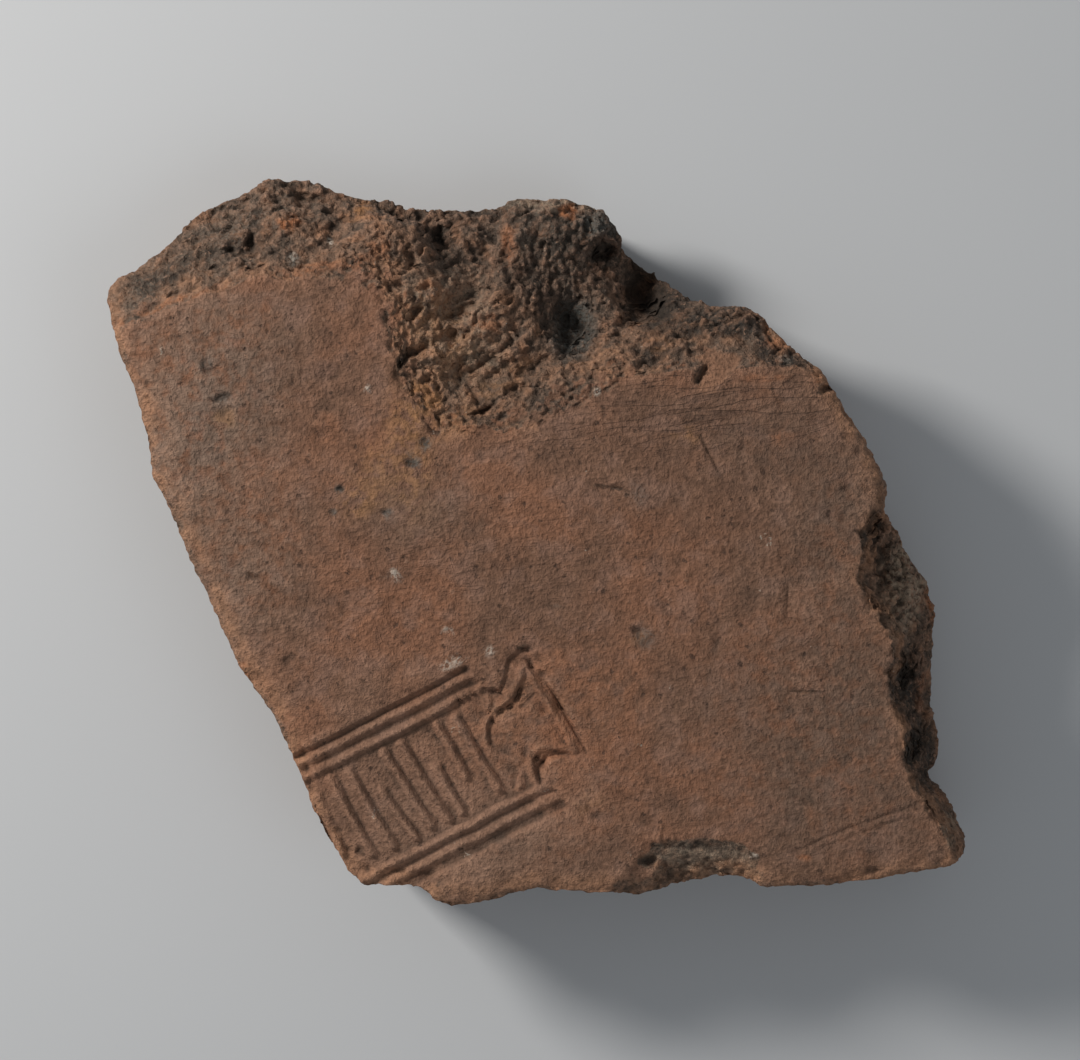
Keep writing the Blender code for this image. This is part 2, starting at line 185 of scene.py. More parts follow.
def step(value, start, end):
    """Goes smoothly from 0 at start to 1 at end."""
    share = np.clip((value - start) / (end - start), 0, 1)
    return share * share * (3 - 2 * share)


# %% Copy and remesh
VOXEL = 0.80 * MM
clay = bpy.data.objects.new("worn_clay_tile", tile.data.copy())
bpy.context.collection.objects.link(clay)
pick(clay)
bpy.ops.object.mode_set(mode="EDIT")
bpy.ops.mesh.select_all(action="SELECT")
bpy.ops.mesh.remove_doubles(threshold=0.001 * MM)
bpy.ops.object.mode_set(mode="OBJECT")
apply_modifier(clay, "REMESH", mode="VOXEL", voxel_size=VOXEL)
print("faces after the remesh:", len(clay.data.polygons))

# %% [markdown]
# ## Old face and breaks
# What is still the old face lies level and high. Everything else is a break, and the breaks are
# not equally rough: the hollow at the top is torn, the slopes beside it are only grainy, and one
# patch of the ledge split off smooth. Vertex groups hold this for the steps that follow.

# %% Helpers that read and blend over the mesh
def links(obj):
    """The mesh's edges as pairs of point numbers."""
    flat = np.empty(len(obj.data.edges) * 2, np.int32)
    obj.data.edges.foreach_get("vertices", flat)
    return flat.reshape(-1, 2)


def blurred(values, pairs, times):
    """Values spread over the mesh: each point takes the mean of its neighbours, several times."""
    a, b = pairs[:, 0], pairs[:, 1]
    count = len(values)
    share = np.maximum(np.bincount(a, minlength=count) + np.bincount(b, minlength=count), 1)
    for _ in range(times):
        total = np.bincount(a, values[b], count) + np.bincount(b, values[a], count)
        values = 0.5 * values + 0.5 * total / share
    return values


def set_group(obj, name, weights):
    """Fills a vertex group from an array of weights, in steps of a twentieth."""
    group = obj.vertex_groups.get(name) or obj.vertex_groups.new(name=name)
    levels = np.round(np.clip(weights, 0, 1) * 20).astype(int)
    for level in range(21):
        group.add(np.flatnonzero(levels == level).tolist(), level / 20, "REPLACE")


def from_stops(seen, stops, reach=14.0):
    """Blends the third number of each stop over the picture, nearest stops first."""
    stops = np.array(stops, float)
    gap2 = ((seen[:, None, :] - stops[None, :, :2]) ** 2).sum(2)
    weight = 1.0 / (gap2 + reach**2) ** 2
    return (weight * stops[None, :, 2]).sum(1) / weight.sum(1)


def oval(seen, x, y, half_length, half_breadth, turn=0.0):
    """Distance from the middle of an oval, 1 on its edge. A turn is in degrees, rising to the right."""
    c, s = math.cos(math.radians(turn)), math.sin(math.radians(turn))
    right, up = seen[:, 0] - x, y - seen[:, 1]
    return np.hypot((right * c + up * s) / half_length, (up * c - right * s) / half_breadth)


def pick_points(obj, wanted):
    """Opens the mesh for editing with the wanted points selected."""
    obj.data.polygons.foreach_set("select", np.zeros(len(obj.data.polygons), bool))
    obj.data.edges.foreach_set("select", np.zeros(len(obj.data.edges), bool))
    obj.data.vertices.foreach_set("select", wanted)
    pick(obj)
    bpy.ops.object.mode_set(mode="EDIT")
    bpy.ops.mesh.select_mode(type="VERT")


def cut_finer(obj, wanted):
    """Halves the edges of the faces at the wanted points."""
    pick_points(obj, wanted)
    bpy.ops.mesh.subdivide(number_cuts=1, smoothness=0)
    bpy.ops.object.mode_set(mode="OBJECT")
    print("points now:", len(obj.data.vertices))


# The old face fades out between these depths below the top of the solid
FACE_FADES_AT, FACE_SURE_AT = 4.2 * MM, 2.4 * MM


def face_share(points, facing, pairs, spread):
    """Where the old face is: level, high up, and faded over its edge."""
    level = blurred(points[:, 2], pairs, 5)
    high_up = step(level, high[2] - FACE_FADES_AT, high[2] - FACE_SURE_AT)
    return blurred(step(facing[:, 2], 0.78, 0.97) * high_up, pairs, spread)


# %% How rough each break is, and what is old face
# Each stop: its place in pixels, and how torn the break is there
TORN_STOPS = (
    (120, 295, 0.40), (180, 250, 0.58), (240, 235, 0.70), (300, 200, 0.70), (330, 245, 0.62),
    (380, 215, 0.70), (400, 270, 0.70), (440, 240, 0.85), (430, 340, 0.80), (500, 330, 0.90),
    (520, 220, 0.65), (560, 270, 0.90), (600, 220, 0.80), (640, 290, 0.80), (580, 340, 0.90),
    (480, 410, 0.60), (560, 395, 0.60), (650, 350, 0.65), (690, 330, 0.75), (722, 366, 0.05),
    (740, 330, 0.70), (782, 352, 0.65), (826, 372, 0.40), (890, 450, 0.30), (885, 560, 0.85),
    (915, 640, 0.80), (925, 740, 0.80), (950, 820, 0.50), (900, 880, 0.25), (760, 885, 0.35),
    (700, 865, 0.60), (600, 895, 0.25), (450, 905, 0.30), (350, 870, 0.35), (300, 760, 0.22),
    (200, 580, 0.22), (140, 430, 0.22), (108, 320, 0.22),
)

spots, facing, pairs = corners(clay), normals(clay), links(clay)
rough_top = (face_share(spots, facing, pairs, 6) < 0.95) & (from_stops(in_photo(spots), TORN_STOPS) > 0.36)
cut_finer(clay, rough_top & (facing[:, 2] > 0.05) & (spots[:, 2] > 20 * MM))

spots, facing, pairs = corners(clay), normals(clay), links(clay)
old_face = face_share(spots, facing, pairs, 8)
underside = step(-spots[:, 2], -2.0 * MM, -0.6 * MM)
torn = np.clip(1 - old_face - underside, 0, 1) * from_stops(in_photo(spots), TORN_STOPS)
torn *= 0.45 + 0.55 * step(facing[:, 2], 0.0, 0.5)
set_group(clay, "old_face", old_face)
set_group(clay, "torn", torn)
set_group(clay, "smoothed", 1 - underside)
print("share of points on the old face:", round(float(old_face.mean()), 2))

# %% Smooth away the solid's flat facets
apply_modifier(clay, "SMOOTH", factor=0.5, iterations=12, vertex_group="smoothed")

# %% [markdown]
# ## Rough breaks
# Fired clay breaks like coarse bread: torn lumps, furrows where it sheared, and crumbs. Sculpting
# them by hand would take days. Here each is a texture of its own grain size that pushes the
# points in and out, and a guide object turns and stretches the furrows along the tear.

# %% Layers of roughness
def guide(name, turn, stretch):
    """An empty whose own space stretches a texture along its X axis."""
    bpy.ops.object.empty_add(location=(0, 0, 0), rotation=(0, 0, math.radians(turn)))
    empty = bpy.context.active_object
    empty.name = name
    empty.scale = (stretch, 1, 1)
    bpy.context.view_layer.update()
    return empty


def roughen(obj, name, kind, grain, strength, group, along=None, **settings):
    """Pushes the surface in and out by a texture: grain size and strength in millimetres."""
    texture = bpy.data.textures.new(name, kind)
    texture.noise_scale = grain * MM
    for key, value in settings.items():
        setattr(texture, key, value)
    where = {"texture_coords": "LOCAL"}
    if along:
        where = {"texture_coords": "OBJECT", "texture_coords_object": along}
    apply_modifier(obj, "DISPLACE", texture=texture, strength=strength * MM, mid_level=0.4,
                   vertex_group=group, **where)


# The torn hollow whose streaks plunge down: middle, half length and half breadth in pixels
STREAKED_OVAL = (556, 280, 46, 66)

seen = in_photo(spots)
streaked = torn * step(-oval(seen, *STREAKED_OVAL), -1.2, -0.6)
set_group(clay, "streaked", streaked)
set_group(clay, "sheared", torn * (1 - streaked))
set_group(clay, "crumbly", torn * step(facing[:, 2], -0.1, 0.3))
set_group(clay, "sides", (1 - old_face - underside) * step(-facing[:, 2], -0.6, 0.0))

tear = guide("tear_guide", 38, 2.6)
plunge = guide("plunge_guide", 84, 4.0)
roughen(clay, "torn_lumps", "CLOUDS", 9.0, 4.0, "torn", noise_depth=2, noise_type="HARD_NOISE")
roughen(clay, "furrows", "CLOUDS", 3.6, 2.8, "sheared", along=tear, noise_depth=1, noise_type="HARD_NOISE")
roughen(clay, "streaks", "CLOUDS", 2.4, 2.4, "streaked", along=plunge, noise_depth=1, noise_type="HARD_NOISE")
roughen(clay, "crumbs", "VORONOI", 2.3, -1.7, "crumbly")
roughen(clay, "grit", "CLOUDS", 1.1, 1.3, "crumbly", noise_depth=1)
roughen(clay, "side_grain", "CLOUDS", 2.6, 1.6, "sides", noise_depth=2)
roughen(clay, "face_swell", "CLOUDS", 11.0, 1.1, "old_face", noise_depth=1)
roughen(clay, "face_grain", "CLOUDS", 3.0, 0.75, "old_face", noise_depth=2)
for empty in (tear, plunge):
    bpy.data.objects.remove(empty)
print("points:", len(clay.data.vertices))

# %% [markdown]
# ## Hollows, furrows and knobs of the breaks
# Some forms are too plain in the photograph to be left to chance: the deep black hole beside the
# top knob, the furrows under the crest, the pits in the bevel. Each is an oval or a line, put
# down by its pixels, with its edge shaken by noise so that it looks torn and not drilled.

# %% Noise and lines read by the features
def cloud(points, grain, octaves=3, shift=0.0):
    """Soft seeded noise, about -1 to 1, at each point. The grain is in millimetres."""
    grid = (points / (grain * MM) + shift).tolist()
    return np.array([noise.fractal(spot, 1.0, 2.1, octaves) for spot in grid])


def line_gap(seen, line, pinch=0.0):
    """Distance of each place to a line through several spots. A pinch narrows it towards its ends."""
    line = np.array(line, float)
    runs = np.diff(line, axis=0)
    lengths = np.hypot(runs[:, 0], runs[:, 1])
    nearest = np.full(len(seen), np.inf)
    passed = 0.0
    for start, run, length in zip(line, runs, lengths):
        share = np.clip((seen - start) @ run / length**2, 0, 1)
        away = seen - start - share[:, None] * run
        from_middle = np.abs(2 * (passed + share * length) / lengths.sum() - 1)
        nearest = np.minimum(nearest, np.hypot(away[:, 0], away[:, 1]) + pinch * from_middle**3)
        passed += length
    return nearest


def ring_depth(places, ring):
    """How far inside a ring each place is. It is negative outside."""
    gap = line_gap(places, tuple(ring) + (ring[0],))
    turns = np.zeros(len(places), bool)
    for (ax, ay), (bx, by) in zip(ring, ring[1:] + ring[:1]):
        spans = (ay > places[:, 1]) != (by > places[:, 1])
        slope = (bx - ax) / (by - ay) if by != ay else 0.0
        turns ^= spans & (places[:, 0] < ax + (places[:, 1] - ay) * slope)
    return np.where(turns, gap, -gap)


def face_gap(points, share, wanted):
    """For each wanted point, how far off the old face is, in millimetres, and how high it lies."""
    face = points[share > 0.9][::3]
    tree = kdtree.KDTree(len(face))
    for number, (x, y, _) in enumerate(face):
        tree.insert((x, y, 0), number)
    tree.balance()
    found = [tree.find((x, y, 0)) for x, y in points[wanted, :2].tolist()]
    return np.array([f[2] for f in found]) / MM, face[[f[1] for f in found], 2]


# %% Ovals and furrows of the breaks
# Each oval: its middle, half length and half breadth in pixels, turn in degrees, rise in millimetres
BREAK_OVALS = (
    (646, 288, 18, 29, 12, -5.4), (632, 318, 12, 8, 0, -2.4), (601, 250, 14, 8, 25, -4.5),
    (573, 322, 18, 32, -4, -4.2), (250, 243, 6, 9, 0, -3.6), (231, 248, 5, 4, 0, -1.8),
    (226, 229, 9, 4, 30, -1.2), (306, 196, 13, 5, -8, -2.8), (330, 226, 6, 4, 40, -1.2),
    (212, 267, 6, 3, 30, -1.5), (258, 268, 5, 3, 35, -1.3), (190, 240, 9, 4, 30, -1.2),
    (394, 285, 7, 5, 45, -1.6), (410, 258, 6, 12, 20, -2.6), (438, 237, 6, 14, 0, -2.6),
    (407, 356, 12, 4, 42, -1.7), (443, 378, 7, 5, 0, -1.7), (484, 412, 10, 4, 22, -1.8),
    (415, 312, 9, 4, 42, -2.4), (424, 285, 6, 4, 30, -1.6), (448, 312, 8, 3, 50, -1.4),
    (522, 388, 10, 5, 45, -2.0), (703, 371, 3.5, 6, -10, -4.4), (700, 379, 4, 4, 30, -2.6),
    (692, 352, 5, 4, 0, -1.8), (826, 388, 6, 5, 30, -2.6), (604, 221, 20, 15, -30, 2.2),
    (531, 206, 34, 8, 3, 1.2), (458, 344, 34, 22, 40, 4.2), (442, 288, 20, 15, 30, 2.4),
    (520, 345, 26, 8, 40, 1.4), (663, 340, 22, 6, 22, 1.2), (745, 312, 30, 5, 4, 1.0),
    (293, 259, 7, 6, 60, 0.9), (876, 524, 9, 13, 0, -2.6), (884, 566, 9, 22, 0, -2.6),
    (914, 582, 11, 30, 0, 2.6), (906, 672, 9, 26, -12, -2.0), (926, 680, 8, 30, 0, 1.4),
    (916, 745, 9, 20, -20, -2.2), (648, 860, 8, 7, 30, -1.5), (762, 862, 10, 7, 0, -0.8),
    (672, 868, 14, 5, 20, -0.6),
)
# Each crumbled edge, where the face goes down in a slope and not in a step: its spots, half
# breadth in pixels
CRUMBLED_EDGES = (
    (((386, 262), (390, 296), (396, 330), (402, 372), (410, 402), (428, 428)), 54),
    (((428, 428), (462, 420), (500, 414), (560, 402), (620, 378)), 30),
    (((646, 852), (700, 846), (762, 858)), 16),
)
# How steeply they go down, how much of the torn relief they keep, and the chip's first step in
# millimetres
CRUMBLED_SLOPE, KEPT_RELIEF, CHIP_STEP = 0.34, 0.75, 0.9
# The spall ends above the first of these rows of the photograph, the chip begins below the second
SPALL_LAST_ROW, CHIP_FIRST_ROW = 450, 700
# The smooth scar of one flake that split off the rim of the ledge. Its lowest row in the photograph
# lies just below the face, and it sinks from there by so many millimetres a pixel.
FLAKE_SCAR = ((704, 346), (741, 356), (737, 368), (721, 383), (698, 394), (702, 367))
SCAR_LOWEST_ROW, SCAR_TILT = 391, 0.085
# The steep lower side of the black hole, where torn points would fold over one another
HOLE_WALL_OVAL = (655, 304, 22, 20)
# Each furrow: its spots, half breadth in pixels, depth in millimetres
BREAK_FURROWS = (
    (((398, 364), (425, 345), (460, 333), (492, 316)), 4.0, 1.3),
    (((402, 396), (440, 371), (478, 352)), 3.0, 0.9),
    (((436, 322), (466, 305), (490, 300)), 2.6, 1.4),
    (((470, 372), (498, 350), (516, 330)), 2.6, 1.3),
    (((470, 415), (484, 411), (492, 407)), 3.0, 1.6),
    (((530, 372), (552, 352)), 2.8, 1.4),
    (((505, 396), (519, 382)), 4.0, 2.2),
    (((415, 330), (452, 300), (500, 283)), 3.5, 1.6),
    (((509, 232), (503, 262), (512, 300)), 3.0, 1.2),
    (((163, 300), (185, 289)), 2.0, 1.1),
    (((138, 315), (160, 304)), 2.2, 0.9),
    (((216, 283), (219, 304)), 2.0, 0.7),
    (((640, 352), (690, 330), (730, 322)), 5.0, 1.2),
)

spots, facing = corners(clay), normals(clay)
seen = in_photo(spots)
shake = np.stack([cloud(spots, 5.0, 2, 20.0), cloud(spots, 5.0, 2, 40.0)], 1)
shaken = seen + 4.5 * shake
upward = step(facing[:, 2], -0.2, 0.35)
crumbled = np.zeros(len(spots))
for line, half_breadth in CRUMBLED_EDGES:
    crumbled = np.maximum(crumbled, step(-line_gap(shaken, line), -1.2 * half_breadth, -0.6 * half_breadth))
low_edge = np.flatnonzero((crumbled > 0) & (old_face < 0.9) & (spots[:, 2] > 30 * MM))
from_face, face_height = face_gap(spots, old_face, low_edge)
uneven = 0.7 * cloud(spots[low_edge], 4.0, 3, 160.0) + 0.8 * cloud(spots[low_edge], 1.6, 2, 170.0)
slope = face_height - (CRUMBLED_SLOPE * from_face + 1.1 * uneven * step(from_face, 0.0, 2.5)) * MM
relief = (spots[:, 2] - blurred(spots[:, 2], pairs, 100))[low_edge]
slope += KEPT_RELIEF * relief * step(from_face, 0.8, 4.5)
slope -= CHIP_STEP * MM * step(from_face, 0.0, 2.2) * (seen[low_edge, 1] > CHIP_FIRST_ROW)
spots[low_edge, 2] += crumbled[low_edge] * np.maximum(slope - spots[low_edge, 2], 0)

rise = np.zeros(len(spots))
fringe = blurred(old_face, pairs, 24)
fringe = step(fringe, 0.25, 0.6) * step(-fringe, -0.98, -0.80) * crumbled
fringe *= seen[:, 1] < SPALL_LAST_ROW
rise -= 0.8 * fringe * step(cloud(spots, 5.0, 4, 140.0), -0.05, 0.40)
for x, y, half_length, half_breadth, turn, height in BREAK_OVALS:
    rise += height * step(-oval(shaken, x, y, half_length, half_breadth, turn), -1.45, -0.35)
for line, half_breadth, depth in BREAK_FURROWS:
    gap = line_gap(shaken, line, pinch=1.2 * half_breadth)
    rise -= depth * step(-gap, -1.8 * half_breadth, -0.2 * half_breadth)
scar = step(ring_depth(shaken, FLAKE_SCAR), -1.5, 2.5)
scar_height = high[2] - (0.2 + (SCAR_LOWEST_ROW - seen[:, 1]) * SCAR_TILT) * MM
lowered = np.minimum(spots[:, 2], scar_height)
spots[:, 2] += scar * (spots[:, 2] > 40 * MM) * (lowered - spots[:, 2])
spots[:, 2] += rise * MM * upward
set_corners(clay, spots)
hole_wall = step(-oval(seen, *HOLE_WALL_OVAL), -1.3, -0.8)
set_group(clay, "deep", np.maximum(step(-rise, 1.8, 3.6), hole_wall))
apply_modifier(clay, "SMOOTH", factor=0.5, iterations=1, vertex_group="torn")
apply_modifier(clay, "SMOOTH", factor=0.5, iterations=7, vertex_group="deep")
print("deepest hollow, millimetres:", round(float(rise.min()), 1))

# %% [markdown]
# ## A finer mesh for the finer marks
# The stamp's lines are only a few millimetres wide, and cracks are narrower still. Cutting the
# whole mesh finer would be heavy. The faces there are picked by their place and subdivided.

# %% Stamp places, along and across its slanted frame
STAMP_TURN = math.radians(27.5)
STAMP_END = place([(512.0, 738.5)])[0]
STAMP_HEIGHT = 172.0 * pixel


def along_stamp(points):
    """Places along the frame from its right end and across it, in hundredths of its height."""
    away = (points[:, :2] - STAMP_END) * 100 / STAMP_HEIGHT
    c, s = math.cos(STAMP_TURN), math.sin(STAMP_TURN)
    return np.stack([away[:, 0] * c + away[:, 1] * s, away[:, 1] * c - away[:, 0] * s], 1)


# %% Cracks, scratches and pits of the face
# Each crack: its spots, half breadth in pixels, depth in millimetres
FACE_CRACKS = (
    (((594, 485), (604, 487), (614, 487), (630, 491)), 1.3, 0.7),
    (((700, 436), (707, 450), (713, 462), (722, 477)), 1.3, 0.55),
    (((744, 430), (743, 446), (738, 458)), 1.2, 0.3),
    (((789, 574), (788, 590), (787, 606), (785, 624)), 1.1, 0.45),
    (((774, 572), (792, 571), (814, 564)), 1.3, 0.4),
    (((790, 691), (806, 693), (822, 692)), 1.2, 0.55),
    (((776, 859), (825, 838), (875, 819), (929, 801)), 1.2, 0.34),
    (((790, 861), (838, 842), (888, 824), (927, 811)), 1.2, 0.24),
    (((610, 424), (660, 415), (726, 405), (770, 400)), 1.2, 0.22),
    (((650, 428), (720, 420), (760, 410), (812, 392)), 1.2, 0.22),
    (((560, 442), (640, 430), (680, 425)), 1.2, 0.18),
    (((700, 574), (704, 588), (698, 604)), 3.0, 0.20),
    (((718, 610), (721, 636), (707, 666)), 3.2, 0.20),
    (((640, 392), (720, 383), (800, 378)), 1.1, 0.16),
    (((860, 500), (846, 512), (836, 530)), 1.4, 0.25),
)
# Each pit or bump: its middle, half length and half breadth, turn, rise in millimetres
FACE_OVALS = (
    (222, 398, 10, 4, 8, -1.0), (206, 366, 6, 9, 20, -0.9), (212, 364, 7, 4, 0, 0.5),
    (224, 412, 8, 7, 0, -0.5), (331, 372, 12, 10, 30, -0.5), (253, 578, 6, 4, 0, -0.9),
    (289, 660, 9, 6, 30, -0.7), (588, 808, 5, 5, 0, -0.9), (597, 815, 6, 5, 0, -0.7),
    (795, 575, 9, 5, 35, 0.8), (812, 672, 18, 13, 20, 0.9), (826, 676, 10, 6, 40, -0.7),
    (643, 638, 11, 8, -40, -0.6), (636, 630, 6, 4, 0, -0.8), (640, 494, 6, 8, 0, -0.4),
    (708, 612, 12, 16, 0, -0.4), (845, 488, 9, 4, 40, -0.6), (424, 443, 5, 6, 0, -0.8),
    (412, 462, 6, 5, 0, -0.7), (340, 489, 4, 3, 0, -0.8), (386, 512, 4, 3, 0, -0.8),
    (333, 512, 3, 3, 0, -0.6), (790, 712, 9, 5, 0, -0.4), (808, 720, 7, 4, 0, 0.5),
    (360, 850, 5, 5, 0, -1.0), (453, 663, 13, 5, 25, 0.5), (395, 575, 4, 6, 0, 0.45),
    (447, 629, 5, 3, 0, 0.35), (490, 651, 5, 4, 0, 0.35), (368, 387, 3, 4, 0, 0.35),
    (597, 391, 4, 5, 0, 0.5), (753, 856, 4, 3, 0, 0.3), (330, 437, 26, 12, 40, -0.4),
    (520, 520, 30, 12, 10, 0.35), (690, 700, 34, 14, -20, -0.35), (560, 600, 26, 16, 30, -0.3),
    (770, 500, 24, 14, 10, 0.4), (260, 470, 22, 16, 0, 0.35),
)

# %% Cut the marked parts finer
spots = corners(clay)
seen = in_photo(spots)
across = along_stamp(spots)
fine = (np.abs(across[:, 1]) < 56) & (across[:, 0] < 44) & (across[:, 0] > -190)
for line, half_breadth, _ in FACE_CRACKS:
    fine |= line_gap(seen, line) < 3 * half_breadth + 2
for x, y, half_length, half_breadth, turn, _ in FACE_OVALS:
    fine |= (oval(seen, x, y, half_length, half_breadth, turn) < 1.6) & (half_length < 13)
fine &= spots[:, 2] > high[2] - 5 * MM
cut_finer(clay, fine)

# %% [markdown]
# ## The stamp, pressed again
# A wooden stamp leaves a shallow recess with rounded ridges in it: two lines above, two below, a
# dovetail end and a row of strokes. Carving such soft ridges with booleans would leave hard edges.
# The points inside the frame are set to a height instead: the face's own height, less the recess,
# plus the nearest ridge.

# %% The stamp's lines, in hundredths of its height
STAMP_LEFT = -190
RECESS_EDGE = ((STAMP_LEFT, 50), (-4, 50), (0, 36), (6, 29), (13, 34), (20, 43), (35, 43), (34, 16),
               (36, -29), (23, -26), (14, -22), (8, -26), (7, -34), (11, -40), (11, -51), (STAMP_LEFT, -51))
FRAME_LINES = (
    ((STAMP_LEFT, 43.2), (-6, 43.6), (-1, 42)), ((STAMP_LEFT, 35), (2, 34.5)),
    ((STAMP_LEFT, -33.6), (6, -33.4)), ((STAMP_LEFT, -42.4), (9, -42)),
)
DOVETAIL_LINES = (
    ((-2, 27), (-5, 19), (-11, 12), (-14, 3), (-12, -5), (-6, -11), (-1, -14)),
    ((-5, 18), (4, 20), (12, 22), (19, 28), (27, 35)),
    ((27, 35), (27, 14), (29, -22)),
    ((29, -22), (21, -17), (12, -12), (5, -15), (1, -22), (0, -31)),
    ((-1, -14), (-6, -21), (-9, -27)),
)
# Dark lines cut deeper than the floor, their spots in photo pixels
STAMP_CUTS = (
    (((501, 693), (505, 678), (509, 662), (519, 652), (536, 646)), 2.4, 0.50),
    (((534, 693), (526, 702), (518, 709)), 2.6, 0.65),
    (((495, 711), (489, 726), (491, 744), (501, 757)), 2.6, 0.65),
    (((546, 683), (560, 706), (573, 728), (587, 754)), 1.8, 1.25),
    (((571, 754), (556, 754), (546, 758), (538, 768), (540, 786)), 2.8, 0.75),
    (((527, 742), (523, 762), (513, 788)), 2.6, 0.70),
)
# Each kind of ridge: its height in millimetres and its half width in hundredths
FRAME_RIDGE, FRAME_WIDTH = 1.35, 4.3
DOVETAIL_RIDGE, DOVETAIL_WIDTH = 1.00, 4.0
STROKE_RIDGE, STROKE_WIDTH = 1.35, 3.9
# The recess in millimetres, how much of it is lost at its right end, and the groove beside a stroke
RECESS_DEPTH, LOST_AT_END = 1.65, 0.75
GROOVE_DEPTH, GROOVE_WIDTH = 0.45, 2.0
STROKE_PITCH = 11.63
STROKE_START = -23.6
STROKE_FOOT, STROKE_TOP = -25.3, 27.3
STROKE_SPANS = (
    (0.96, 0.04, 0.25), (1.00, 0.34, 0.10), (0.58, 0.02, 0.15), (1.00, 0.00, 0.35), (1.00, 0.03, 0.45),
    (0.62, 0.00, 0.50), (0.98, 0.02, 0.25), (1.00, 0.06, 0.15), (0.90, 0.22, -0.20),
)


def stroke_lines():
    """The row of strokes between the inner lines, from the right end."""
    tall = STROKE_TOP - STROKE_FOOT
    lines = []
    for number, (top, foot, lean) in enumerate(STROKE_SPANS):
        along = STROKE_START - number * STROKE_PITCH
        middle = (along + lean * STROKE_PITCH * 0.35, STROKE_FOOT + (top + foot) / 2 * tall)
        ends = (along, STROKE_FOOT + top * tall), (along + lean * STROKE_PITCH, STROKE_FOOT + foot * tall)
        lines.append((ends[0], middle, ends[1]))
    return lines


# %% Height of the stamp below and above the face
def ridge(gap, half_width):
    """A rounded ridge: 1 on its crest, 0 at its foot."""
    return 0.5 + 0.5 * np.cos(math.pi * np.clip(gap / half_width, 0, 1))


def stamp_height(points):
    """Height of the pressed stamp against the face around it, in millimetres, and how far inside it is."""
    places = along_stamp(points)
    wander = np.stack([cloud(points, 9.0, 2, 60.0), cloud(points, 9.0, 2, 70.0)], 1)
    worn = cloud(points, 16.0, 2, 80.0)
    places = places + 0.8 * wander
    within = ring_depth(places, RECESS_EDGE)
    at_end = step(places[:, 0], -8, 2)
    floor_depth = (RECESS_DEPTH - LOST_AT_END * at_end) * (1 + 0.15 * worn)
    height = -floor_depth * step(within, -0.9, 2.6)
    raised = np.zeros(len(points))
    for line in FRAME_LINES:
        raised = np.maximum(raised, FRAME_RIDGE * ridge(line_gap(places, line), FRAME_WIDTH))
    for line in DOVETAIL_LINES:
        raised = np.maximum(raised, DOVETAIL_RIDGE * ridge(line_gap(places, line), DOVETAIL_WIDTH))
    groove = np.zeros(len(points))
    for line in stroke_lines():
        raised = np.maximum(raised, STROKE_RIDGE * ridge(line_gap(places, line), STROKE_WIDTH))
        beside = line_gap(places - (4.2, -0.6), line)
        groove = np.maximum(groove, GROOVE_DEPTH * ridge(beside, GROOVE_WIDTH))
    inside = step(within, -1.0, 1.5)
    height += (raised * (1 + 0.15 * worn) - groove * (1 - raised)) * inside
    seen = in_photo(points) + 1.0 * wander
    for line, half_breadth, depth in STAMP_CUTS:
        height -= depth * ridge(line_gap(seen, line, pinch=half_breadth), 1.9 * half_breadth)
    return height + 0.04 * cloud(points, 1.8, 2, 90.0), within


# %% Press it
def wall_gap(points, facing, reached):
    """Distance over the plane from each reached point to the nearest broken side of the tile."""
    wall = points[(facing[:, 2] < 0.35) & (points[:, 2] > high[2] - 14 * MM)][::3]
    tree = kdtree.KDTree(len(wall))
    for number, (x, y, _) in enumerate(wall):
        tree.insert((x, y, 0), number)
    tree.balance()
    return np.array([tree.find((x, y, 0))[2] for x, y in points[reached, :2].tolist()])


# How far in from the sides the face is rounded off
RIM_BREADTH = 1.3 * MM

spots, facing = corners(clay), normals(clay)
near = np.flatnonzero((spots[:, 2] > high[2] - 7 * MM) & (facing[:, 2] > 0.35)
                      & (ring_depth(along_stamp(spots), RECESS_EDGE) > -16))
pressed, within = stamp_height(spots[near])
x, y = spots[near, 0], spots[near, 1]
terms = np.stack([np.ones(len(near)), x, y, x * x, x * y, y * y], 1)
to_side = wall_gap(spots, facing, near)
flat = (within < -5) & (to_side > 5 * MM)
fitted = terms @ np.linalg.lstsq(terms[flat], spots[near, 2][flat], rcond=None)[0]
fitted -= 1.4 * MM * np.exp(-to_side / RIM_BREADTH)
swell = 0.12 * MM * cloud(spots[near], 14.0, 2, 100.0)
blend = step(within, -7.0, -2.5)
spots[near, 2] += blend * (fitted + swell + pressed * MM - spots[near, 2])
set_corners(clay, spots)
inside = np.zeros(len(spots))
inside[near] = blend
set_group(clay, "stamped", inside)
apply_modifier(clay, "SMOOTH", factor=0.5, iterations=1, vertex_group="stamped")
print("stamp depth, millimetres:", round(float(pressed.min()), 2))

# %% [markdown]
# ## Marks of age on the old face
# The face was wiped by hand, dried, fired and worn. It shows hair cracks, pits where grit fell
# out, small bumps, and two fine scratches. They are pressed in the same way as the hollows above,
# only shallower. The rim has lost small flakes all along.

# %% Cracks, pits and flaked rims
# Columns of the photograph between which the rim begins to be chipped more
CHIPPED_COLUMNS = (840, 880)

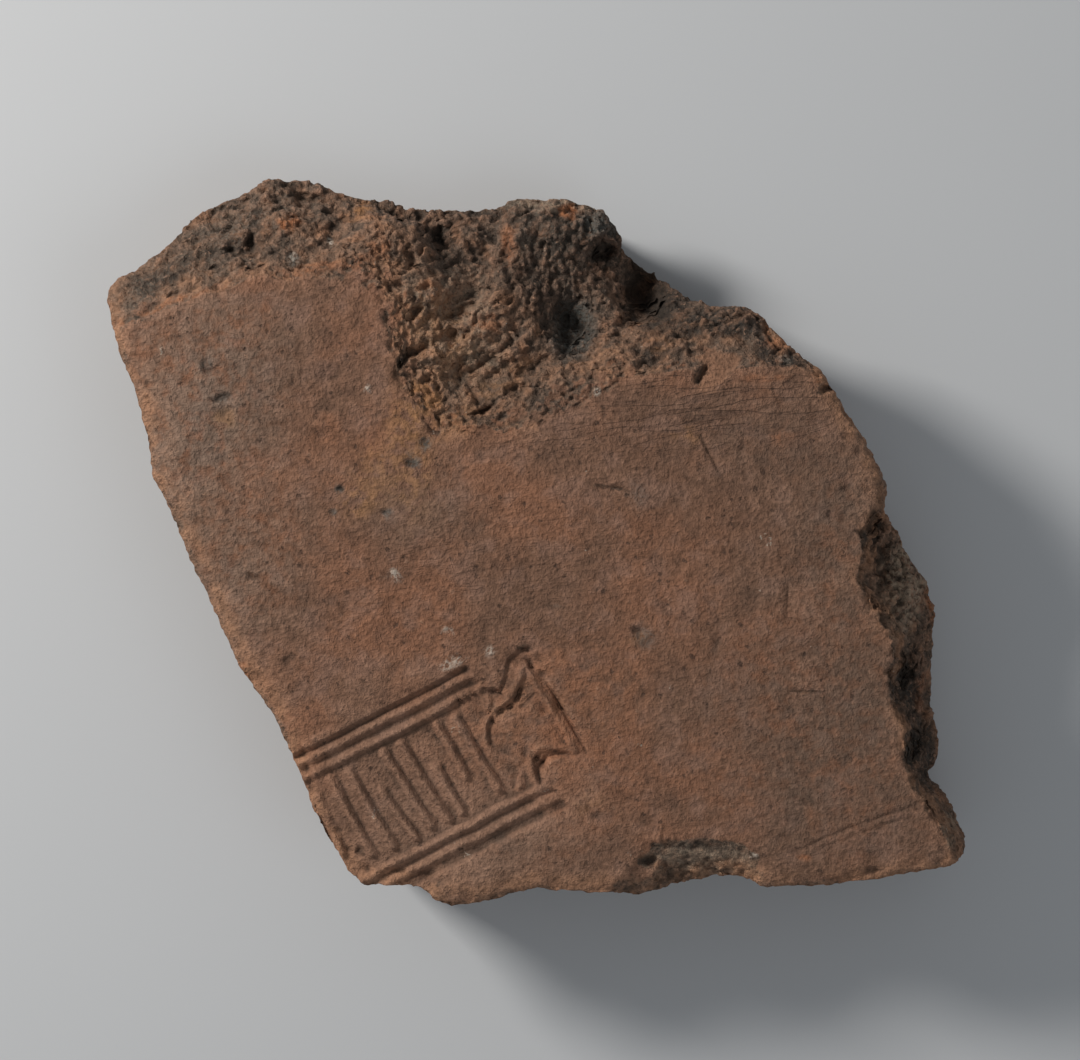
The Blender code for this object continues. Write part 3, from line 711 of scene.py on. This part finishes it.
spots, facing = corners(clay), normals(clay)
top = np.flatnonzero((spots[:, 2] > high[2] - 6 * MM) & (facing[:, 2] > 0.55))
seen = in_photo(spots[top])
shake = np.stack([cloud(spots[top], 3.0, 2, 20.0), cloud(spots[top], 3.0, 2, 40.0)], 1)
rise = np.zeros(len(top))
for line, half_breadth, depth in FACE_CRACKS:
    gap = line_gap(seen + 1.3 * shake, line, pinch=1.6 * half_breadth)
    rise -= 1.5 * depth * (0.9 + 0.4 * shake[:, 0]) * ridge(gap, 2.1 * half_breadth)
for x, y, half_length, half_breadth, turn, height in FACE_OVALS:
    rise += height * step(-oval(seen + 2.6 * shake, x, y, half_length, half_breadth, turn), -1.4, -0.4)
to_side = wall_gap(spots, facing, top)
flakes = step(cloud(spots[top], 9.0, 4, 120.0), 0.05, 0.60)
flaked = 0.15 + (0.6 + 0.5 * step(seen[:, 0], *CHIPPED_COLUMNS)) * flakes
rise -= flaked * np.exp(-((to_side / RIM_BREADTH) ** 2))
spots[top, 2] += rise * MM
print("points on the face:", len(top))

# %% Keep inside the solid's box
def keep_inside(points):
    """Moves points that stick out of the solid's box back onto it."""
    return np.clip(points, low + (0.02 * MM, 0.02 * MM, 0), high - 0.02 * MM)


set_corners(clay, keep_inside(spots))

# %% Thin the mesh
MOST_TRIANGLES = 197000
clay.data.calc_loop_triangles()
ratio = MOST_TRIANGLES / len(clay.data.loop_triangles)
if ratio < 1:
    apply_modifier(clay, "DECIMATE", decimate_type="COLLAPSE", ratio=ratio, use_collapse_triangulate=True)
clay.data.calc_loop_triangles()
print("triangles kept:", len(clay.data.loop_triangles))
set_corners(clay, keep_inside(corners(clay)))
clay.data.shade_smooth()
clay.vertex_groups.clear()

# %% [markdown]
# ## Masks for the material
# The colour depends on the place: hollows are darkened, partly as dirt and partly as painted shade,
# ridges are rubbed pale, the left wears a grey film and the lower right a darker film with painted
# shade, a yellow stain runs down from the break. Some shaded breaks get painted shade and some get
# painted light. Each is worked out once per point and kept as an attribute, which the material reads.

# %% Attributes
def keep(name, values):
    """Keeps one number per point under a name."""
    attribute = clay.data.attributes.new(name, "FLOAT", "POINT")
    attribute.data.foreach_set("value", np.clip(values, 0, 1).astype(np.float32))
    print(name, "mean", round(float(np.mean(values)), 3))


def sunken(points, facing, pairs, times):
    """How far each point lies below the mean of its surroundings, along its normal, in millimetres."""
    mean = np.stack([blurred(points[:, axis], pairs, times) for axis in range(3)], 1)
    return ((mean - points) * facing).sum(1) / MM


# The chip in the lower edge
CHIP_OVAL = (702, 860, 58, 20, -2)

spots, facing, pairs = corners(clay), normals(clay), links(clay)
seen = in_photo(spots)
ragged = np.stack([cloud(spots, 8.0, 3, 20.0), cloud(spots, 8.0, 3, 40.0)], 1)
narrow = blurred(sunken(spots, facing, pairs, 4), pairs, 2)
wide = blurred(sunken(spots, facing, pairs, 22), pairs, 2)
# Hollows are darkened as dirt and painted shade: the lower a point lies below its surroundings, the darker
sunk = step(narrow, 0.02, 0.16) * 0.6 + step(wide, 0.20, 1.3) * 0.6
keep("crest", step(-narrow, 0.02, 0.16) * 0.6 + step(-wide, 0.15, 1.0) * 0.5)

old_face = face_share(spots, facing, pairs, 3)
stamped = step(ring_depth(along_stamp(spots), RECESS_EDGE), -3, 1) * step(spots[:, 2], 0.044, 0.046)
chip = step(-oval(seen + 3 * ragged, *CHIP_OVAL), -1.05, -0.85)
old_face = np.maximum(old_face, stamped) * (1 - chip)
keep("old_face", old_face)
edge = wall_gap(spots, facing, np.arange(len(spots)))
keep("rim", np.exp(-edge / (1.5 * MM)) * step(spots[:, 2], 0.035, 0.045))

# %% Painted regions
def painted(ovals, soft=0.5, ragged_by=7.0):
    """The strongest of several soft-edged ovals at each point, their edges ragged by so many pixels."""
    total = np.zeros(len(spots))
    shaken = seen + ragged_by * ragged
    for x, y, half_length, half_breadth, turn, strength in ovals:
        gap = oval(shaken, x, y, half_length, half_breadth, turn)
        total = np.maximum(total, strength * step(-gap, -1 - soft, -1 + soft))
    return total


# Each painted oval: its middle, half length and half breadth in pixels, turn, strength
LIT_SPALL = ((450, 325, 52, 72, 30, 1.0),)
PAINTED_HOLE_SHADOWS = ((650, 294, 22, 36, 8, 1.0), (566, 308, 11, 24, 0, 0.7))

top_side = step(spots[:, 2], 0.012, 0.020)
# The torn slope of the spall on the left gets less painted shade, so that it looks lit
sunk *= 1 - 0.75 * painted(LIT_SPALL, 0.6)
# The black hole beside the knob and the streaked hollow get a painted shadow, near black
sunk = np.maximum(sunk, top_side * painted(PAINTED_HOLE_SHADOWS))
# Cracks get a dark line of dirt and painted shade
for line, half_breadth, depth in FACE_CRACKS:
    dark_line = ridge(line_gap(seen + 0.8 * ragged, line), 1.8 * half_breadth)
    sunk = np.maximum(sunk, min(1.6 * depth - 0.24, 0.8) * dark_line)
keep("hollow", sunk)
keep("ochre", top_side * painted((
    (408, 452, 22, 62, 5, 0.65), (414, 414, 7, 28, 0, 1.0), (360, 500, 22, 16, 30, 0.7),
    (375, 470, 20, 26, 0, 0.5), (450, 425, 34, 14, 30, 0.45), (500, 380, 40, 10, 35, 0.4),
    (684, 434, 13, 7, 0, 0.6), (357, 209, 12, 9, 0, 0.9), (224, 416, 10, 8, 0, 0.6),
    (440, 335, 30, 46, 30, 0.5), (426, 396, 16, 22, 20, 1.0), (590, 806, 10, 8, 0, 0.4),
    (634, 640, 8, 6, 0, 0.5), (660, 345, 14, 8, 0, 0.6),
)))
keep("orange", top_side * painted((
    (285, 224, 14, 9, 20, 0.9), (563, 208, 15, 6, 0, 0.9), (777, 334, 15, 13, -45, 1.0),
    (937, 600, 6, 22, 0, 0.8), (924, 690, 7, 24, 0, 0.4), (802, 856, 7, 4, 0, 1.0),
    (812, 822, 5, 14, 0, 0.5), (779, 441, 9, 6, 0, 0.8), (246, 670, 9, 12, 0, 0.9),
    (324, 428, 12, 16, 0, 0.35), (509, 245, 8, 22, 0, 0.6), (486, 325, 14, 10, 30, 0.6),
    (765, 378, 24, 4, 4, 0.7), (822, 378, 8, 8, 0, 0.6), (430, 290, 14, 12, 0, 0.5),
    (540, 720, 120, 60, 25, 0.35), (380, 250, 16, 10, 0, 0.5), (300, 272, 90, 6, 12, 0.5),
    (160, 306, 60, 4, 20, 0.6),
)))
keep("grey", painted((
    (190, 410, 80, 130, -12, 0.85), (240, 560, 60, 80, -20, 0.6), (500, 850, 100, 40, 10, 0.35),
    (420, 500, 60, 40, 0, 0.3), (170, 275, 60, 22, 30, 0.9), (250, 225, 60, 26, 20, 0.9),
    (520, 205, 60, 12, 0, 0.9), (440, 800, 60, 40, 27, 0.3), (560, 240, 60, 40, 0, 0.8),
    (740, 330, 50, 16, 8, 0.9),
), 0.8))
keep("scar", step(ring_depth(seen + 2 * ragged, FLAKE_SCAR), -1, 1) * step(spots[:, 2], 0.040, 0.043))
keep("tan", painted((
    (450, 835, 120, 60, 22, 1.0), (400, 740, 110, 60, 27, 0.6), (150, 430, 24, 150, -14, 0.5),
), 0.7))
# Towards the right the face is darker: a grey-brown film and painted shade
keep("dark_film_and_painted_shade", painted((
    (840, 730, 130, 120, -40, 0.9), (850, 560, 60, 120, 0, 0.9), (780, 440, 110, 50, -20, 0.5),
), 0.8))
# Painted shade, partly dark clay, on breaks that lie in shade: the ledge, the right slope and around the
# black hole
keep("dark_clay_and_painted_shade", top_side * painted((
    (720, 322, 62, 17, 8, 1.0), (778, 358, 30, 12, -30, 1.0), (660, 350, 22, 10, 20, 0.7),
    (668, 292, 22, 34, 0, 1.0), (636, 262, 14, 26, 0, 0.8), (872, 530, 9, 22, 0, 1.0),
    (906, 700, 16, 50, -6, 1.0), (918, 758, 22, 34, 0, 1.0), (573, 325, 24, 40, 0, 0.8),
    (600, 238, 26, 22, 0, 0.6), (404, 354, 12, 12, 0, 0.4), (440, 240, 14, 26, 0, 0.6),
    (500, 215, 90, 9, 0, 0.35), (560, 265, 44, 40, 0, 0.45), (480, 412, 20, 8, 20, 0.5),
    (540, 410, 34, 10, 22, 0.6), (250, 240, 20, 12, 20, 0.8), (180, 268, 40, 12, 28, 0.5),
    (646, 862, 8, 8, 0, 0.6), (690, 848, 34, 4, 3, 0.4),
)))
keep("blue", painted((
    (293, 259, 7, 7, 0, 1.0), (424, 443, 6, 7, 0, 1.0), (412, 462, 8, 6, 0, 1.0),
    (340, 489, 5, 4, 0, 0.9), (386, 512, 5, 4, 0, 0.9), (333, 512, 4, 4, 0, 0.9),
    (573, 325, 22, 34, 0, 0.8), (643, 638, 12, 10, -40, 0.6), (640, 494, 8, 10, 0, 0.4),
    (600, 220, 20, 14, 0, 0.8), (222, 398, 9, 5, 0, 0.6), (206, 366, 6, 8, 0, 0.6),
), ragged_by=3.0))
keep("brushed", painted((
    (725, 405, 150, 40, 6, 1.0), (480, 560, 170, 50, 4, 0.35), (560, 440, 80, 20, 8, 0.5),
), 0.7))
keep("pale", painted((
    (453, 663, 13, 5, 25, 0.8), (395, 575, 3.5, 6, 0, 1.0), (447, 629, 5, 3, 0, 0.9),
    (490, 651, 5, 4, 0, 0.8), (368, 387, 3, 4, 0, 1.0), (597, 391, 3.5, 5, 0, 1.0),
    (753, 856, 4, 3, 0, 0.9), (785, 359, 6, 4, 0, 0.45), (330, 241, 2.5, 5, 30, 1.0),
    (293, 256, 4, 5, 0, 0.5), (795, 576, 7, 4, 35, 0.4), (560, 606, 3, 3, 0, 0.8),
    (812, 668, 9, 7, 0, 0.25),
), 0.35, ragged_by=1.5))
# Pale dust and painted light on breaks that lie in shade, so that they look lit
keep("dust_and_painted_light", top_side * painted((
    (908, 584, 22, 46, -8, 1.0), (448, 325, 44, 62, 30, 0.50), (702, 860, 54, 16, 0, 0.50),
    (950, 835, 10, 30, -20, 0.5), (560, 200, 50, 8, 0, 0.6),
)))

# %% [markdown]
# ## Fired clay
# Up close the clay is never one colour. Iron made it brown to brick red where the fire had air,
# grey where it had none, and soil and lime stuck to it later. The material mixes these by noise
# of several grain sizes and by the masks. It could be painted, but this stays sharp at any size.

# %% A shader socket that can be used in sums
class Wire:
    """Wraps a socket of the clay's node tree, so that a mask can be written as arithmetic."""

    tree = None

    def __init__(self, socket):
        self.socket = socket

    @classmethod
    def node(cls, kind, settings=None, values=None, output=0):
        """Adds any node: its type, its settings, then the values or links of its sockets."""
        made = cls.tree.nodes.new("ShaderNode" + kind)
        for name, value in (settings or {}).items():
            setattr(made, name, value)
        for name, value in (values or {}).items():
            if isinstance(value, Wire):
                cls.tree.links.new(value.socket, made.inputs[name])
            else:
                made.inputs[name].default_value = value
        return cls(made.outputs[output])

    @classmethod
    def maths(cls, operation, *values):
        """Works out one operation on numbers or sockets."""
        return cls.node("Math", {"operation": operation}, dict(enumerate(values)))

    def __add__(self, other):
        return self.maths("ADD", self, other)

    def __sub__(self, other):
        return self.maths("SUBTRACT", self, other)

    def __rsub__(self, other):
        return self.maths("SUBTRACT", other, self)

    def __mul__(self, other):
        return self.maths("MULTIPLY", self, other)

    __radd__ = __add__
    __rmul__ = __mul__

    def between(self, start, end):
        """Goes smoothly from 0 at start to 1 at end."""
        settings = {"interpolation_type": "SMOOTHSTEP"}
        return self.node("MapRange", settings, {"Value": self, "From Min": start, "From Max": end})

    def over(self, other, share):
        """This colour laid over another one by a share."""
        settings = {"data_type": "RGBA"}
        return self.node("Mix", settings, {0: share, 6: other, 7: self}, output=2)


# %% Noise and attributes for the clay
paint = bpy.data.materials.new("fired_clay")
paint.use_nodes = True
Wire.tree = paint.node_tree
shader = paint.node_tree.nodes["Principled BSDF"]
place_on_tile = Wire.node("TexCoord", output=3)


def colour(red, green, blue):
    """A plain colour that can be laid over others."""
    made = Wire.node("RGB")
    made.socket.default_value = (red, green, blue, 1.0)
    return made


def spread(grain, shift=0.0, turn=0.0, stretch=1.0):
    """The place on the tile in grains of so many millimetres, perhaps stretched along a direction."""
    side, away = grain * MM, -shift * grain * MM
    values = {"Vector": place_on_tile, "Location": (away, away, away),
              "Rotation": (0, 0, math.radians(turn)), "Scale": (side * stretch, side, side)}
    return Wire.node("Mapping", {"vector_type": "TEXTURE"}, values)


def mottle(grain, detail=3.0, shift=0.0, turn=0.0, stretch=1.0, rough=0.55, wavy=0.0):
    """Soft noise from 0 to 1."""
    values = {"Vector": spread(grain, shift, turn, stretch), "Scale": 1.0, "Detail": detail,
              "Roughness": rough, "Distortion": wavy}
    return Wire.node("TexNoise", None, values)


# How far noise moves the cells, in their own size
BEND = 1.1


def grit(grain, shift, bend):
    """Bent cells of a given size: the distance from each cell's middle, and two numbers of its own."""
    crooked = Wire(bend.socket.node.outputs["Color"])
    values = {0: crooked, 1: (BEND, BEND, BEND), 2: spread(grain, shift)}
    spot = Wire.node("VectorMath", {"operation": "MULTIPLY_ADD"}, values)
    distance = Wire.node("TexVoronoi", None, {"Vector": spot, "Scale": 1.0})
    own = Wire.node("SeparateColor", None, {"Color": Wire(distance.socket.node.outputs["Color"])})
    return distance, own, Wire(own.socket.node.outputs[1])


def mask(name):
    """Reads one of the attributes kept on the points."""
    return Wire.node("Attribute", {"attribute_name": name}, output=2)


# %% The grains of the clay, from patches as wide as a hand to single grains
patches = mottle(36, 2, 3.1)
clouds = mottle(9, 4, 7.7)
knobs = mottle(3.4, 3, 21.0)
small = mottle(2.3, 2, 51.0)
grain = mottle(1.15, 3, 1.3, rough=0.65)
wiped = mottle(1.3, 2, 17.0, turn=7, stretch=12)
torn_tone = mottle(6, 4, 4.4)
strokes_of_hand = mottle(3.6, 2, 31.0, turn=6, stretch=7, wavy=0.7)
hollow, crest, rim, on_face = mask("hollow"), mask("crest"), mask("rim"), mask("old_face")
grainy = grain.between(0.34, 0.66)

# %% Colour of the old face
face = colour(0.212, 0.114, 0.072)
face = colour(0.330, 0.145, 0.078).over(face, patches.between(0.40, 0.66) * 0.60)
face = colour(0.275, 0.160, 0.115).over(face, clouds.between(0.46, 0.68) * 0.55)
face = colour(0.140, 0.080, 0.056).over(face, clouds.between(0.48, 0.28) * 0.40)
face = colour(0.215, 0.160, 0.122).over(face, mask("grey") * knobs.between(0.28, 0.58) * 0.80)
# A darker grey-brown film and painted shade towards the right of the face
face = colour(0.145, 0.102, 0.076).over(face, mask("dark_film_and_painted_shade") * knobs.between(0.24, 0.60) * 0.70)
face = colour(0.360, 0.205, 0.135).over(face, mask("tan") * clouds.between(0.26, 0.56) * 0.55)
face = colour(0.380, 0.190, 0.084).over(face, mask("ochre") * knobs.between(0.36, 0.58) * 0.80)
face = colour(0.400, 0.160, 0.075).over(face, mask("orange") * knobs.between(0.32, 0.60) * 0.75)

# %% Colour of the breaks
broken = colour(0.265, 0.158, 0.104)
cell, first_number, second_number = grit(2.4, 13.0, grain)
gaps = cell.between(0.40, 0.64)
broken = colour(0.105, 0.080, 0.062).over(broken, torn_tone.between(0.46, 0.60) * 0.70)
broken = colour(0.340, 0.170, 0.095).over(broken, torn_tone.between(0.48, 0.34) * 0.80)
broken = colour(0.125, 0.112, 0.092).over(broken, mask("grey") * grain.between(0.40, 0.56) * 0.80)
# Dark clay and painted shade on the breaks that lie in shade
broken = colour(0.052, 0.047, 0.040).over(broken, mask("dark_clay_and_painted_shade") * grain.between(0.30, 0.54) * 0.90)
broken = colour(0.045, 0.036, 0.029).over(broken, grain.between(0.46, 0.34) * 0.60)
# Pale dust and painted light on shaded breaks
broken = colour(0.460, 0.350, 0.250).over(broken, mask("dust_and_painted_light") * small.between(0.30, 0.60) * 0.85)
# Painted shade in the gaps between grains, stronger where the breaks get painted shade
broken = colour(0.035, 0.028, 0.023).over(broken, gaps * (0.22 + 0.45 * mask("dark_clay_and_painted_shade")))
broken = colour(0.400, 0.230, 0.145).over(broken, grain.between(0.58, 0.70) * 0.55)
broken = colour(0.450, 0.165, 0.066).over(broken, mask("orange") * knobs.between(0.36, 0.58) * 0.85)
broken = colour(0.430, 0.200, 0.080).over(broken, mask("ochre") * knobs.between(0.36, 0.58) * 0.75)
clay_colour = face.over(broken, (on_face + (grain - 0.5) * 0.8).between(0.35, 0.65))

# %% Grit, dirt and painted shade, wear and lime
pale_cell, pale_number, _ = grit(13.0, 29.0, knobs)
dot = (cell + second_number * 0.18).between(0.40, 0.20)
pore = dot * first_number.between(0.76, 0.82)
light_grain = dot * first_number.between(0.24, 0.18)
lime_speck = pale_cell.between(0.075, 0.040) * pale_number.between(0.72, 0.76)

clay_colour = colour(0.380, 0.215, 0.140).over(clay_colour, light_grain * 0.50)
clay_colour = colour(0.080, 0.048, 0.035).over(clay_colour, pore * 0.70)
clay_colour = colour(0.360, 0.200, 0.130).over(clay_colour, crest * grainy * 0.55)
clay_colour = colour(0.440, 0.225, 0.125).over(clay_colour, rim * clouds.between(0.36, 0.60) * 0.75)
clay_colour = colour(0.105, 0.118, 0.110).over(clay_colour, mask("blue") * grain.between(0.30, 0.56) * 0.75)
# Hollows and cracks darkened as dirt and painted shade, near black in the painted hole shadows
clay_colour = colour(0.040, 0.030, 0.023).over(clay_colour, hollow * (0.50 + grain * 0.5))
clay_colour = colour(0.310, 0.160, 0.095).over(clay_colour, mask("scar") * 0.75)
clay_colour = colour(0.540, 0.460, 0.380).over(clay_colour, mask("pale") * grain.between(0.40, 0.56) * 0.85)
clay_colour = colour(0.480, 0.400, 0.320).over(clay_colour, lime_speck * 0.65)

brush_line = Wire.maths("ABSOLUTE", strokes_of_hand - 0.5).between(0.05, 0.0) * mask("brushed") * on_face
clay_colour = colour(0.090, 0.056, 0.042).over(clay_colour, brush_line * 0.38)
grain_shade = -0.10 + grain + knobs * 0.44 + small * 0.76
shaded = Wire.node("VectorMath", {"operation": "SCALE"}, {0: clay_colour, "Scale": grain_shade})

# %% Roughness and bump
roughness = 0.86 + 0.10 * grain - 0.05 * crest
on_break = 1 - on_face
bumps = (0.92 * grain + 0.46 * knobs + 0.60 * small) * (1 + 0.45 * on_break) - 0.30 * gaps * on_break
bumps = bumps + 0.16 * wiped * on_face - 0.24 * pore + 0.12 * light_grain - 0.28 * brush_line
bump = Wire.node("Bump", None, {"Strength": 1.0, "Distance": MM, "Height": bumps})
links_of_clay = paint.node_tree.links
links_of_clay.new(shaded.socket, shader.inputs["Base Color"])
links_of_clay.new(roughness.socket, shader.inputs["Roughness"])
links_of_clay.new(bump.socket, shader.inputs["Normal"])
shader.inputs["Specular IOR Level"].default_value = 0.25
clay.data.materials.clear()
clay.data.materials.append(paint)
print("nodes in the clay:", len(paint.node_tree.nodes))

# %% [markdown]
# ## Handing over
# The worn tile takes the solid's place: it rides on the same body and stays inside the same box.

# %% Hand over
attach(clay, "root")
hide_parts("tile_fragment")
